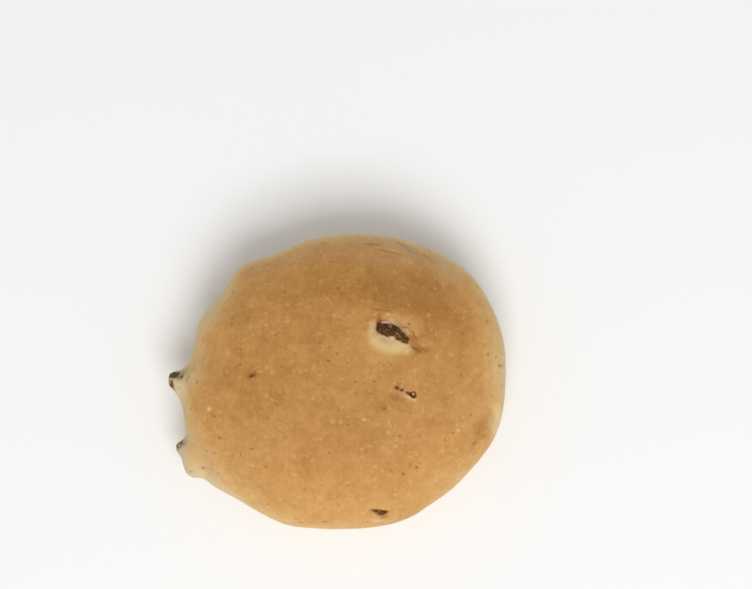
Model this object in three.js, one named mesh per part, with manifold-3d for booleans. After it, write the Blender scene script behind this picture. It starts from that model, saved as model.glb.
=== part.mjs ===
// A raisin bun: a low round wheat bun with a gently domed top, an upright side that tucks under to
// a flat base, and raisins that lie in its skin or push it outwards.
// Millimetres, +Z up. The bun stands on its base at z = 0, its long side lies along X, and the
// origin is under the middle of the box around it.

import * as THREE from "three";
import { mergeVertices } from "three/addons/utils/BufferGeometryUtils.js";
import Module from "manifold-3d";

const wasm = await Module();
wasm.setup();

// Driving dimensions of the dough.
const MEAN_RADIUS = 46.4; // of the outline seen from above
const OVAL = 2.4; // the long radius is this much over the mean, and the short one this much under
const OVAL_TURN = 17; // degrees from +X to the long radius
const HEIGHT = 41;
const GIRTH_HEIGHT = 16; // where the side stands upright
const TOP_FULLNESS = 2.4; // 2 is an ellipse, and more is a flatter top with a rounder shoulder
const SIDE_FULLNESS = 3.4; // the same below the girth
const BASE_CUT = 1.6; // what the flat base takes off the round below the girth
const BUN_DETAIL = 12; // each edge of an icosahedron is cut into one more piece than this
const FINE_EDGE = 0.75; // the longest edge near a lift or dent, as a share of its half-width across
const FINE_PASSES = 2; // each pass halves the edges that are longer

// Driving dimensions of the raisins.
const RAISIN_DETAIL = 3;
const WRINKLE_DEPTH = 0.09; // as a share of the raisin's radius
const RAISIN_BLUNTNESS = 0.75; // 1 is an egg's end, and less is a blunter one
const RAISIN_TAPER = 0.35; // how much thinner than the middle one end is, and thicker the other
const POCKET_GAP = 0.3; // between a raisin and the dough around it

// Where the outline leaves the oval: at an angle in degrees, by a height, over a half-width in
// degrees.
const LOBES = [
  { at: 4, by: -0.6, over: 14 },
  { at: 42, by: 0.8, over: 11 },
  { at: 116, by: -0.8, over: 9 },
  { at: 132, by: 1.7, over: 8 },
  { at: 157, by: 0.6, over: 5 },
  { at: 171, by: -1.2, over: 8 },
  { at: 196, by: 1.0, over: 9 },
  { at: 248, by: 0.7, over: 8 },
  { at: 293, by: 1.1, over: 10 },
  { at: 339, by: 0.6, over: 7 },
];

// Lifts and dents of the skin. Each lies round a spot, its long axis turned from the spot's level
// direction by turn degrees, and reaches along and across by its half-widths. An edge of 1 is a
// plain round bump, and more is a plateau with steeper ends.
const RELIEF = [
  // The top raisin's torn hollow, the lip above it and the crease that runs on from it.
  { spot: onTop(13.7, 12.4), turn: -25, along: 5.8, across: 3.2, lift: -1.4 },
  { spot: onTop(15.4, 18.5), turn: -18, along: 6.8, across: 2.3, lift: 0.8 },
  { spot: onTop(22.3, 9.6), turn: -10, along: 3.6, across: 1.7, lift: -0.6 },
  // The shallow hollow beside the small raisin, and the dough under the front raisin.
  { spot: onTop(15.2, -5.8), turn: -24, along: 5.5, across: 3.0, lift: -0.6 },
  { spot: onTop(9.6, -41), turn: -6, along: 4.0, across: 2.0, lift: 0.7 },
  // Dough that the left raisins push out of the side.
  { spot: onSide(179.7, 17), turn: 0, along: 3.5, across: 5.6, lift: 4.4 },
  { spot: onSide(183.6, 16), turn: 0, along: 4.6, across: 6.4, lift: 0.9 },
  { spot: onSide(206.2, 14), turn: 0, along: 6.0, across: 9, lift: 3.8, edge: 3 },
  { spot: onSide(214, 14), turn: 0, along: 8.9, across: 8, lift: 2.9 },
  // Torn hollows round the raisins of the right and the far side.
  { spot: onSide(336, 8.5), turn: -18, along: 6.5, across: 3.6, lift: -0.7 },
  { spot: onSide(62, 8.5), turn: 28, along: 6.8, across: 3.8, lift: -0.7 },
  { spot: onSide(120, 8.5), turn: -30, along: 6.2, across: 3.6, lift: -0.7 },
  // The fold near the top's far edge.
  { spot: onTop(18.4, 36.9), turn: -26, along: 8, across: 2, lift: 0.9 },
  // The broad unevenness of hand-shaped dough.
  { spot: onTop(-9, -2), turn: 20, along: 18, across: 15, lift: 0.6 },
  { spot: onTop(24, -24), turn: 45, along: 16, across: 9, lift: 0.5 },
  { spot: onSide(25, 20), turn: 0, along: 13, across: 8, lift: 0.4 },
  { spot: onSide(85, 15), turn: 0, along: 12, across: 7, lift: -0.7 },
  { spot: onSide(258, 12), turn: 0, along: 14, across: 8, lift: -0.6 },
];

// Each raisin lies at a spot, moved out along the skin's normal by out. Its size is its extent
// along a direction in the skin, turned like a lift's, across it, and along the normal. Its ends
// bend away across it by curl.
const RAISINS = [
  {
    name: "raisin_top",
    spot: onTop(14.4, 14.5),
    turn: -26,
    size: [10.8, 3.5, 4.4],
    out: -1.7,
    curl: 1.4,
  },
  { name: "raisin_top_small", spot: onTop(17.7, -3.2), turn: -24, size: [8.4, 4.0, 3.6], out: -1.7 },
  { name: "raisin_front", spot: onTop(9.8, -38.8), turn: -8, size: [8.0, 4.6, 4.2], out: -1.7 },
  { name: "raisin_left", spot: onSide(179.9, 18), turn: 24, size: [6.0, 5.0, 8.6], out: 0 },
  { name: "raisin_left_low", spot: onSide(203.6, 15), turn: 30, size: [6.6, 4.6, 6.8], out: 1.4 },
  { name: "raisin_right", spot: onSide(336, 8.5), turn: -18, size: [10.5, 5.6, 5.0], out: -2.9 },
  { name: "raisin_back", spot: onSide(62, 8.5), turn: 28, size: [11.0, 6.0, 5.0], out: -2.9 },
  { name: "raisin_back_left", spot: onSide(120, 8.5), turn: -30, size: [9.6, 5.6, 4.6], out: -2.7 },
];

function radians(degrees) {
  return (degrees * Math.PI) / 180;
}

// The outline's radius at an angle round the bun.
function outline(angle) {
  let radius = MEAN_RADIUS + OVAL * Math.cos(2 * (angle - radians(OVAL_TURN)));
  for (const { at, by, over } of LOBES) {
    const turn = angle - radians(at);
    const away = Math.atan2(Math.sin(turn), Math.cos(turn));
    radius += by * Math.exp(-((away / radians(over)) ** 2));
  }
  return radius;
}

// The fullness and the depth of the half above the girth or below it.
function half(isTop) {
  return isTop
    ? { fullness: TOP_FULLNESS, depth: HEIGHT - GIRTH_HEIGHT }
    : { fullness: SIDE_FULLNESS, depth: GIRTH_HEIGHT + BASE_CUT };
}

// A point of the plain dough with its outward normal. reach and rise are its distance from the
// bun's axis and its height over the girth, as shares of the radius and the half's depth.
function skinPoint(angle, reach, rise) {
  const radius = outline(angle);
  const { fullness, depth } = half(rise >= 0);
  const level = new THREE.Vector3(Math.cos(angle), Math.sin(angle), 0);
  const point = level.clone().multiplyScalar(radius * reach);
  point.z = GIRTH_HEIGHT + depth * rise;
  const normal = level.multiplyScalar(reach ** (fullness - 1) / radius);
  normal.z = (Math.sign(rise) * Math.abs(rise) ** (fullness - 1)) / depth;
  return { point, normal: normal.normalize() };
}

// The spot of the top that lies over x, y.
function onTop(x, y) {
  const angle = Math.atan2(y, x);
  const reach = Math.hypot(x, y) / outline(angle);
  const rise = (1 - reach ** TOP_FULLNESS) ** (1 / TOP_FULLNESS);
  return skinPoint(angle, reach, rise);
}

// The spot of the side at an angle in degrees and a height over the base.
function onSide(degrees, height) {
  const { fullness, depth } = half(height >= GIRTH_HEIGHT);
  const rise = (height - GIRTH_HEIGHT) / depth;
  const reach = (1 - Math.abs(rise) ** fullness) ** (1 / fullness);
  return skinPoint(radians(degrees), reach, rise);
}

// The frame of a spot: its first axis lies in the skin, turned from the level direction (from +X
// on the top), its third is the normal.
function spotAxes({ normal }, turn) {
  const isTop = normal.z > 0.7;
  const level = isTop
    ? new THREE.Vector3(1, 0, 0)
    : new THREE.Vector3(-normal.y, normal.x, 0);
  const along = level.addScaledVector(normal, -level.dot(normal)).normalize();
  along.applyAxisAngle(normal, radians(turn));
  const across = new THREE.Vector3().crossVectors(normal, along);
  return [along, across, normal];
}

// How far a point is from a dent's spot: 1 at the dent's half-widths, squared.
function shareOf(dent, point) {
  const [along, across, normal] = spotAxes(dent.spot, dent.turn);
  const away = point.clone().sub(dent.spot.point);
  const depth = Math.max(dent.along, dent.across);
  return (
    (away.dot(along) / dent.along) ** 2 +
    (away.dot(across) / dent.across) ** 2 +
    (away.dot(normal) / depth) ** 2
  );
}

// How far the skin stands out of the plain dough at a point.
function lift(point) {
  let total = 0;
  for (const dent of RELIEF) {
    total += dent.lift * Math.exp(-(shareOf(dent, point) ** (dent.edge ?? 1)));
  }
  return total;
}

function closedSolid(geometry) {
  const vertProperties = new Float32Array(geometry.getAttribute("position").array);
  const triVerts = new Uint32Array(geometry.index.array);
  return new wasm.Manifold(new wasm.Mesh({ numProp: 3, vertProperties, triVerts }));
}

function geometryOf(solid) {
  const { vertProperties, triVerts } = solid.getMesh();
  const geometry = new THREE.BufferGeometry();
  geometry.setAttribute("position", new THREE.BufferAttribute(vertProperties, 3));
  geometry.setIndex(new THREE.BufferAttribute(triVerts, 1));
  geometry.computeVertexNormals();
  return geometry;
}

// The directions and faces of a sphere, as points on it and triples of their indices.
function sphere(detail) {
  const geometry = new THREE.IcosahedronGeometry(1, detail);
  geometry.deleteAttribute("normal");
  geometry.deleteAttribute("uv");
  const merged = mergeVertices(geometry, 1e-4);
  const positions = merged.getAttribute("position");
  const directions = [];
  for (let i = 0; i < positions.count; i++) {
    directions.push(new THREE.Vector3().fromBufferAttribute(positions, i).normalize());
  }
  const faces = [];
  for (let i = 0; i < merged.index.count; i += 3) {
    faces.push(Array.from(merged.index.array.slice(i, i + 3)));
  }
  return { directions, faces };
}

// Halves the sphere's edges that isLong picks. Both faces of an edge meet at its middle, so the
// sphere stays closed.
function halveEdges({ directions, faces }, isLong) {
  const middles = new Map();
  function middle(from, to) {
    const name = from < to ? `${from} ${to}` : `${to} ${from}`;
    if (!middles.has(name)) {
      const [start, end] = [directions[from], directions[to]];
      const halved = isLong(start, end);
      middles.set(name, halved ? directions.push(start.clone().add(end).normalize()) - 1 : null);
    }
    return middles.get(name);
  }
  const halves = [];
  for (const [a, b, c] of faces) {
    const ring = [a, middle(a, b), b, middle(b, c), c, middle(c, a)];
    const rest = [];
    for (let i = 0; i < 6; i++) {
      const [before, here, after] = [ring[(i + 5) % 6], ring[i], ring[(i + 1) % 6]];
      const isCorner = i % 2 === 0;
      if (isCorner && before !== null && after !== null) {
        halves.push([before, here, after]);
      } else if (here !== null) {
        rest.push(here);
      }
    }
    const start = Math.max(rest.findIndex((point) => ![a, b, c].includes(point)), 0);
    for (let i = 1; i < rest.length - 1; i++) {
      const [here, after] = [rest[(start + i) % rest.length], rest[(start + i + 1) % rest.length]];
      halves.push([rest[start], here, after]);
    }
  }
  return { directions, faces: halves };
}

// The closed surface that shape makes of a sphere: it gives the place for each direction.
function shapedSphere({ directions, faces }, shape) {
  const geometry = new THREE.BufferGeometry().setFromPoints(directions.map(shape));
  return geometry.setIndex(faces.flat());
}

function plainDoughPoint(direction) {
  const level = Math.hypot(direction.x, direction.y);
  const { fullness } = half(direction.z >= 0);
  const scale = (level ** fullness + Math.abs(direction.z) ** fullness) ** (-1 / fullness);
  const angle = Math.atan2(direction.y, direction.x);
  return skinPoint(angle, level * scale, direction.z * scale);
}

function doughPoint(direction) {
  const { point, normal } = plainDoughPoint(direction);
  point.addScaledVector(normal, lift(point));
  point.z = Math.max(point.z, 0);
  return point;
}

// Whether an edge of the dough is too long to follow a lift or dent that it lies on.
function isCoarse(start, end) {
  const [from, to] = [plainDoughPoint(start).point, plainDoughPoint(end).point];
  const middle = from.clone().add(to).divideScalar(2);
  return RELIEF.some((dent) =>
    from.distanceTo(to) > FINE_EDGE * dent.across && shareOf(dent, middle) < 2);
}

function doughGeometry() {
  let body = sphere(BUN_DETAIL);
  for (let pass = 0; pass < FINE_PASSES; pass++) {
    body = halveEdges(body, isCoarse);
  }
  return shapedSphere(body, doughPoint);
}

// A raisin is a blunt, tapered body whose skin is drawn into a few wandering folds along its length.
// gap is how far out of it the surface lies.
function raisinGeometry({ size, curl = 0 }, gap) {
  const halfLength = size[0] / 2;
  const [length, width, thickness] = size.map((full) => full / 2 + gap);
  return shapedSphere(sphere(RAISIN_DETAIL), (direction) => {
    const along = Math.sign(direction.x) * Math.abs(direction.x) ** RAISIN_BLUNTNESS * length;
    const round = Math.atan2(direction.z, direction.y);
    const drift = 1.9 * Math.sin(2.3 * direction.x + halfLength);
    const fold = Math.sin(5 * round + drift) * (1 - direction.x ** 2);
    const swell = (1 + WRINKLE_DEPTH * fold) * (1 - RAISIN_TAPER * direction.x);
    return new THREE.Vector3(
      along,
      direction.y * width * swell - curl * (along / halfLength) ** 2,
      direction.z * thickness * swell,
    );
  });
}

function placeRaisin(mesh, { spot, turn, out }) {
  mesh.position.copy(spot.point).addScaledVector(spot.normal, out);
  mesh.quaternion.setFromRotationMatrix(
    new THREE.Matrix4().makeBasis(...spotAxes(spot, turn)),
  );
  mesh.updateMatrix();
  return mesh;
}

const raisinSkin = new THREE.MeshStandardMaterial({
  name: "raisin",
  color: 0x3a2420,
  roughness: 0.5,
  metalness: 0,
});

const crust = new THREE.MeshStandardMaterial({
  name: "crust",
  color: 0xbc8a4d,
  roughness: 0.7,
  metalness: 0,
});

function raisinMesh(raisin) {
  const mesh = new THREE.Mesh(raisinGeometry(raisin, 0), raisinSkin);
  mesh.name = raisin.name;
  return placeRaisin(mesh, raisin);
}

// The hole that a raisin needs in the dough, a gap larger all round.
function pocket(raisin) {
  const { matrix } = placeRaisin(new THREE.Object3D(), raisin);
  return closedSolid(raisinGeometry(raisin, POCKET_GAP).applyMatrix4(matrix));
}

function bunMesh() {
  let dough = closedSolid(doughGeometry());
  for (const raisin of RAISINS) {
    dough = dough.subtract(pocket(raisin));
  }
  const mesh = new THREE.Mesh(geometryOf(dough), crust);
  mesh.name = "bun";
  return mesh;
}

// The origin is moved under the middle of the box around the whole bun.
function centred(group) {
  const middle = new THREE.Box3().setFromObject(group, true).getCenter(new THREE.Vector3());
  group.position.set(-middle.x, -middle.y, 0);
  return new THREE.Group().add(group);
}

const bun = new THREE.Group();
bun.add(bunMesh(), ...RAISINS.map(raisinMesh));

export default centred(bun);
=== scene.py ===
"""A raisin bun on a pale floor: the looks around the CAD solids, in their frame.

Blender's units are metres. The bun's own sizes are millimetres about its axis, as in the solids,
and placed() moves them into the frame.
"""

import math
from collections import namedtuple

import bmesh
import bpy
import numpy as np
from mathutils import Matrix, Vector, noise


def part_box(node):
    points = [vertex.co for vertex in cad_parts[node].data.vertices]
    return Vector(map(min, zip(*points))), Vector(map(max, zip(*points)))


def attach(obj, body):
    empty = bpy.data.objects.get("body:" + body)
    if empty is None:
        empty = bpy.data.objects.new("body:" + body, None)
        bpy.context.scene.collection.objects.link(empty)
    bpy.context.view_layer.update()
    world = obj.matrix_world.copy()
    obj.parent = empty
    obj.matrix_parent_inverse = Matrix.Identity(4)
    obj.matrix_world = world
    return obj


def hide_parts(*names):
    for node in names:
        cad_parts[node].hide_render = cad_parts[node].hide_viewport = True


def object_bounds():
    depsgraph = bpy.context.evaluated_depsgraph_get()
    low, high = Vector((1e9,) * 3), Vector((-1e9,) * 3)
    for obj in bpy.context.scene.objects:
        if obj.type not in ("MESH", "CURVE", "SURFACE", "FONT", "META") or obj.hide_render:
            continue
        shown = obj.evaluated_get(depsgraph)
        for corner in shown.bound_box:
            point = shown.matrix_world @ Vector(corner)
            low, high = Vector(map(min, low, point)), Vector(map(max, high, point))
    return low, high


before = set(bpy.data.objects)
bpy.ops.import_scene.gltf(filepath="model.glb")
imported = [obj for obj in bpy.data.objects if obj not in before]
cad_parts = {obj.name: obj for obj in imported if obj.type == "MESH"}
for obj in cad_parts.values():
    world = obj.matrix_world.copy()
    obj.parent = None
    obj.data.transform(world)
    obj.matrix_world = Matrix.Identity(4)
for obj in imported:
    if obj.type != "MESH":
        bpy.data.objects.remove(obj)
cad_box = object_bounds()

MM = 0.001

# The dough, as the solids have it.
MEAN_RADIUS = 46.4
OVAL = 2.4
OVAL_TURN = 17
HEIGHT = 41
GIRTH_HEIGHT = 16
TOP_FULLNESS = 2.4
SIDE_FULLNESS = 3.4
BASE_CUT = 1.6
LOBES = [  # degrees round the bun, height, half-width in degrees
    (4, -0.6, 14),
    (42, 0.8, 11),
    (116, -0.8, 9),
    (132, 1.7, 8),
    (157, 0.6, 5),
    (171, -1.2, 8),
    (196, 1.0, 9),
    (248, 0.7, 8),
    (293, 1.1, 10),
    (339, 0.6, 7),
]

# The dough's mesh: the sphere that it starts from, how often its edges are halved, and how long
# they may be, on the skin and on the base, which ends at a height.
SPHERE_LEVELS = 6
HALVINGS = 4
SKIN_EDGE = 1
BASE_EDGE = 2.6
BASE_EDGE_HEIGHT = 0.5

# How long they may be on a small dent or patch, as a share of its half-width across, but not less
# than the finest; and how far round it, in squared half-widths.
FEATURE_EDGE = 0.22
FINEST_EDGE = 0.16
FEATURE_REACH = 1.5

# A spot counts as on the top when its normal rises more than this.
FLAT_RISE = 0.7


# The surface of the dough.


def outline(angle):
    """The outline's radius at angles round the bun."""
    radius = MEAN_RADIUS + OVAL * np.cos(2 * (angle - math.radians(OVAL_TURN)))
    for at, by, over in LOBES:
        away = (angle - math.radians(at) + math.pi) % (2 * math.pi) - math.pi
        radius = radius + by * np.exp(-((away / math.radians(over)) ** 2))
    return radius


def half(is_top):
    """The fullness and the depth of the half above the girth or below it."""
    fullness = np.where(is_top, TOP_FULLNESS, SIDE_FULLNESS)
    depth = np.where(is_top, HEIGHT - GIRTH_HEIGHT, GIRTH_HEIGHT + BASE_CUT)
    return fullness, depth


def skin_points(angle, reach, rise):
    """Points of the plain dough and their outward normals.

    reach and rise are the distance from the axis and the height over the girth, as shares of the
    radius and the half's depth.
    """
    radius = outline(angle)
    fullness, depth = half(rise >= 0)
    out = reach * radius
    points = np.stack([out * np.cos(angle), out * np.sin(angle), GIRTH_HEIGHT + depth * rise], -1)
    lean = reach ** (fullness - 1) / radius
    up = np.sign(rise) * np.abs(rise) ** (fullness - 1) / depth
    normals = np.stack([lean * np.cos(angle), lean * np.sin(angle), up], -1)
    return points, normals / np.linalg.norm(normals, axis=-1, keepdims=True)


def on_top(x, y):
    """The spot of the top that lies over x, y."""
    angle = math.atan2(y, x)
    reach = math.hypot(x, y) / outline(angle)
    return skin_points(angle, reach, (1 - reach**TOP_FULLNESS) ** (1 / TOP_FULLNESS))


def on_side(degrees, height):
    """The spot of the side at an angle in degrees and a height over the base."""
    fullness, depth = half(height >= GIRTH_HEIGHT)
    rise = (height - GIRTH_HEIGHT) / depth
    reach = (1 - abs(rise) ** fullness) ** (1 / fullness)
    return skin_points(math.radians(degrees), reach, rise)


def plain_dough(directions):
    """The plain dough's points and normals in directions from the middle of its girth."""
    level = np.hypot(directions[:, 0], directions[:, 1])
    fullness, _ = half(directions[:, 2] >= 0)
    scale = (level**fullness + np.abs(directions[:, 2]) ** fullness) ** (-1 / fullness)
    angle = np.arctan2(directions[:, 1], directions[:, 0])
    return skin_points(angle, level * scale, directions[:, 2] * scale)


def spot_axes(spot, turn):
    """The directions along and across a spot, and its normal.

    The first lies in the skin, turned from the level direction (from +X on the top).
    """
    _, normal = spot
    is_flat = normal[2] > FLAT_RISE
    level = np.array([1.0, 0, 0]) if is_flat else np.array([-normal[1], normal[0], 0])
    along = level - level.dot(normal) * normal
    along /= np.linalg.norm(along)
    across = np.cross(normal, along)
    cos, sin = math.cos(math.radians(turn)), math.sin(math.radians(turn))
    return cos * along + sin * across, cos * across - sin * along, normal


# A lift, dent or patch of the skin: it reaches along and across its spot by its half-widths. An
# edge of 1 is a plain round bump, and more is a plateau with steeper ends.
Dent = namedtuple("Dent", "spot turn along across lift edge", defaults=[1])


def share_of(dent, points):
    """How far points are from a dent's spot: 1 at its half-widths, squared."""
    along, across, normal = spot_axes(dent.spot, dent.turn)
    away = points - dent.spot[0]
    return (
        (away @ along / dent.along) ** 2
        + (away @ across / dent.across) ** 2
        + (away @ normal / np.maximum(dent.along, dent.across)) ** 2
    )


def covered(dent, points):
    """How much a dent or patch counts at points, from 0 to 1."""
    return np.exp(-(share_of(dent, points) ** dent.edge))


def lift(dents, points):
    """How far dents lift the skin at points."""
    total = np.zeros(len(points))
    for dent in dents:
        total += dent.lift * covered(dent, points)
    return total


# The lifts and dents that the solids have too.
RELIEF = [
    # The top raisin's torn hollow, the lip above it and the crease that runs on from it.
    Dent(on_top(13.7, 12.4), -25, 5.8, 3.2, -1.4),
    Dent(on_top(15.4, 18.5), -18, 6.8, 2.3, 0.8),
    Dent(on_top(22.3, 9.6), -10, 3.6, 1.7, -0.6),
    # The shallow hollow beside the small raisin, and the dough under the front raisin.
    Dent(on_top(15.2, -5.8), -24, 5.5, 3.0, -0.6),
    Dent(on_top(9.6, -41), -6, 4.0, 2.0, 0.7),
    # Dough that the left raisins push out of the side.
    Dent(on_side(179.7, 17), 0, 3.5, 5.6, 4.4),
    Dent(on_side(183.6, 16), 0, 4.6, 6.4, 0.9),
    Dent(on_side(206.2, 14), 0, 6.0, 9, 3.8, 3),
    Dent(on_side(214, 14), 0, 8.9, 8, 2.9),
    # Torn hollows round the raisins of the right and the far side.
    Dent(on_side(336, 8.5), -18, 6.5, 3.6, -0.7),
    Dent(on_side(62, 8.5), 28, 6.8, 3.8, -0.7),
    Dent(on_side(120, 8.5), -30, 6.2, 3.6, -0.7),
    # The fold near the top's far edge.
    Dent(on_top(18.4, 36.9), -26, 8, 2, 0.9),
    # The broad unevenness of hand-shaped dough.
    Dent(on_top(-9, -2), 20, 18, 15, 0.6),
    Dent(on_top(24, -24), 45, 16, 9, 0.5),
    Dent(on_side(25, 20), 0, 13, 8, 0.4),
    Dent(on_side(85, 15), 0, 12, 7, -0.7),
    Dent(on_side(258, 12), 0, 14, 8, -0.6),
]

# What is too small for the solids.
FINE_RELIEF = [
    # The top raisin's bed: its broad end with the curl, its narrow end and the lump between.
    Dent(on_top(12.4, 14.7), -10, 2.9, 1.45, -0.9, 3),
    Dent(on_top(16.6, 13.2), -42, 2.9, 1.1, -0.9, 3),
    Dent(on_top(9.9, 16.7), 85, 1.5, 0.6, -0.8, 1.5),
    Dent(on_top(12.3, 12.9), -6, 1.9, 0.5, 0.35),
    Dent(on_top(14, 13.2), -20, 1.1, 0.55, 0.7, 1.5),
    # The wall over it, with its crumbs, and the hood and the crease at its right end.
    Dent(on_top(14.7, 16.8), -25, 3.2, 0.6, -0.4),
    Dent(on_top(11.8, 17), -8, 1.6, 0.5, 0.8, 1.5),
    Dent(on_top(12.9, 17.6), 10, 1.0, 0.45, 0.45),
    Dent(on_top(12.4, 19.4), 0, 0.6, 0.5, 0.35),
    Dent(on_top(17.6, 14.9), -35, 1.3, 0.7, 0.8, 1.5),
    Dent(on_top(19.3, 13.7), -50, 1.2, 0.7, 0.5),
    Dent(on_top(21, 12.4), -70, 1.6, 0.4, -0.4),
    Dent(on_top(22.1, 12.8), -70, 1.2, 0.7, 0.3),
    Dent(on_top(20.6, 10), -30, 1.4, 0.7, -0.5),
    Dent(on_top(10.2, 20.9), -5, 2.2, 0.4, -0.25),
    # The split skin over the small raisin.
    Dent(on_top(15.1, -2.1), -10, 0.7, 0.5, -0.4, 1.5),
    Dent(on_top(16.5, -2.7), 20, 0.55, 0.36, -0.4, 1.5),
    Dent(on_top(18.6, -3.7), -25, 1.1, 0.42, -0.4, 1.5),
    Dent(on_top(19.9, -4.1), 0, 0.95, 1.05, -0.45, 3),
    Dent(on_top(19.9, -4), 0, 0.4, 0.4, 0.5, 2),
    Dent(on_top(14.8, -4.7), -15, 2.0, 0.7, -0.3),
    # The slit over the front raisin, with its lips.
    Dent(on_top(10.4, -38.4), -20, 1.7, 0.65, -0.5, 2.5),
    Dent(on_top(8.4, -37.9), -20, 1.2, 0.35, -0.4),
    Dent(on_top(9.2, -40.6), -8, 2.2, 0.7, 0.4),
    Dent(on_top(11.4, -41.4), 15, 1.2, 0.3, -0.4),
    # Fine wrinkles in the skin of the far edge, and the low fold beyond them.
    Dent(on_top(7.7, 40.6), 8, 2.2, 0.6, -0.4),
    Dent(on_top(17.3, 40.4), 2, 3.4, 0.7, -0.5),
    Dent(on_top(19.2, 38.6), -4, 3.0, 0.5, -0.4),
    Dent(on_top(13.3, 38.3), 0, 4.2, 0.5, -0.35),
    Dent(on_top(24.4, 36.8), -10, 3.2, 0.5, -0.35),
    Dent(on_top(16.8, 41.6), 0, 5.5, 1.3, 0.6),
    # Creases in the pale side.
    Dent(on_side(14, 11), 20, 4.0, 0.45, -0.3),
    Dent(on_side(19, 14), -12, 3.0, 0.4, -0.25),
    Dent(on_side(43, 12), -25, 3.6, 0.45, -0.3),
    Dent(on_side(76, 17), 15, 4.2, 0.45, -0.3),
    Dent(on_side(98, 13), 28, 3.4, 0.4, -0.3),
    Dent(on_side(104, 17), -8, 2.6, 0.4, -0.25),
    Dent(on_side(147, 12), -20, 3.8, 0.45, -0.3),
    Dent(on_side(236, 9), 12, 3.6, 0.45, -0.3),
    Dent(on_side(262, 7), -16, 4.2, 0.45, -0.3),
    Dent(on_side(291, 8), 18, 3.2, 0.4, -0.25),
    Dent(on_side(315, 10), -22, 3.4, 0.45, -0.3),
    # Tears in the skin over the left raisins, with a ridge between the two of the low one.
    Dent(on_side(177.8, 18.6), 80, 1.6, 0.6, -0.5, 2),
    Dent(on_side(181.4, 18.5), 20, 1.3, 0.8, -0.6, 2),
    Dent(on_side(200.7, 16), 0, 1.1, 1.4, -0.7, 2),
    Dent(on_side(200.6, 15.5), 0, 0.7, 2.0, 0.6),
    # A lump and a crease in the dough that the low one pushed out.
    Dent(on_side(208, 12), 35, 3.4, 2.6, 0.5),
    Dent(on_side(212, 8), -20, 3.0, 0.6, -0.35),
    # The torn skin over the raisins of the right and the far side.
    Dent(on_side(335.4, 8.3), -18, 3.4, 1.5, -0.8, 2),
    Dent(on_side(62.4, 8.3), 28, 3.6, 1.7, -0.8, 2),
    Dent(on_side(119.6, 8.3), -30, 3.0, 1.4, -0.8, 2),
]

# The raisins: spot, turn, size along, across and into the skin, and how far out. film is how thick
# the skin over it is, veil how far it shows through that skin, and curl how far its ends bend away.
Raisin = namedtuple("Raisin", "spot turn size out film veil curl", defaults=[0, 0, 0])
RAISINS = {
    "raisin_top": Raisin(on_top(14.4, 14.5), -26, (10.8, 3.5, 4.4), -1.7, curl=1.4),
    "raisin_top_small": Raisin(on_top(17.7, -3.2), -24, (8.4, 4.0, 3.6), -1.7, 0.45),
    "raisin_front": Raisin(on_top(9.8, -38.8), -8, (8.0, 4.6, 4.2), -1.7, 0.45),
    "raisin_left": Raisin(on_side(179.9, 18), 24, (6.0, 5.0, 8.6), 0, 0.4, 1),
    "raisin_left_low": Raisin(on_side(203.6, 15), 30, (6.6, 4.6, 6.8), 1.4, 0.4, 0.7),
    "raisin_right": Raisin(on_side(336, 8.5), -18, (10.5, 5.6, 5.0), -2.9, 0.3, 0.7),
    "raisin_back": Raisin(on_side(62, 8.5), 28, (11.0, 6.0, 5.0), -2.9, 0.3, 0.7),
    "raisin_back_left": Raisin(on_side(120, 8.5), -30, (9.6, 5.6, 4.6), -2.7, 0.3, 0.7),
}
RAISIN_BLUNTNESS = 0.75
RAISIN_TAPER = 0.35
FILM_BLEND = 0.3
FILM_UNEVEN = 0.42

# Pale torn dough, from 0 to 1.
TORN = [
    # Round the top raisin.
    Dent(on_top(13.5, 10.7), -8, 5.8, 3.0, 1, 2.5),
    Dent(on_top(8.3, 14.3), 82, 3.3, 1.6, 0.7, 1.5),
    Dent(on_top(17.8, 8.8), -12, 2.4, 1.1, 0.4),
    Dent(on_top(17.7, 14.8), -35, 1.5, 0.8, 0.5, 1.5),
    Dent(on_top(12.9, 17.6), 10, 1.3, 0.6, 0.6),
    # Beside the front raisin and the small one.
    Dent(on_top(9, -40.5), -10, 2.0, 0.8, 0.6),
    Dent(on_top(18.6, -4.9), -20, 1.3, 0.4, 0.7),
    Dent(on_top(19.9, -5.6), 0, 0.8, 0.4, 0.6),
    Dent(on_top(19.9, -3.9), 0, 0.4, 0.4, 0.6, 2),
    # The strip of the right edge where another bun was torn off, and the far edge's low fold.
    Dent(on_side(344.3, 18.5), 0, 4.0, 8.4, 0.6, 2),
    Dent(on_side(348.8, 24.5), -25, 2.2, 4.5, 0.6, 2),
    Dent(on_top(16.8, 41.6), 0, 6.0, 2.2, 0.5, 2),
    # Round the raisins of the right and the far side.
    Dent(on_side(336, 8.5), -18, 7.0, 4.4, 0.9, 2),
    Dent(on_side(62, 8.5), 28, 7.4, 4.6, 0.9, 2),
    Dent(on_side(120, 8.5), -30, 6.6, 4.4, 0.9, 2),
]

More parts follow.
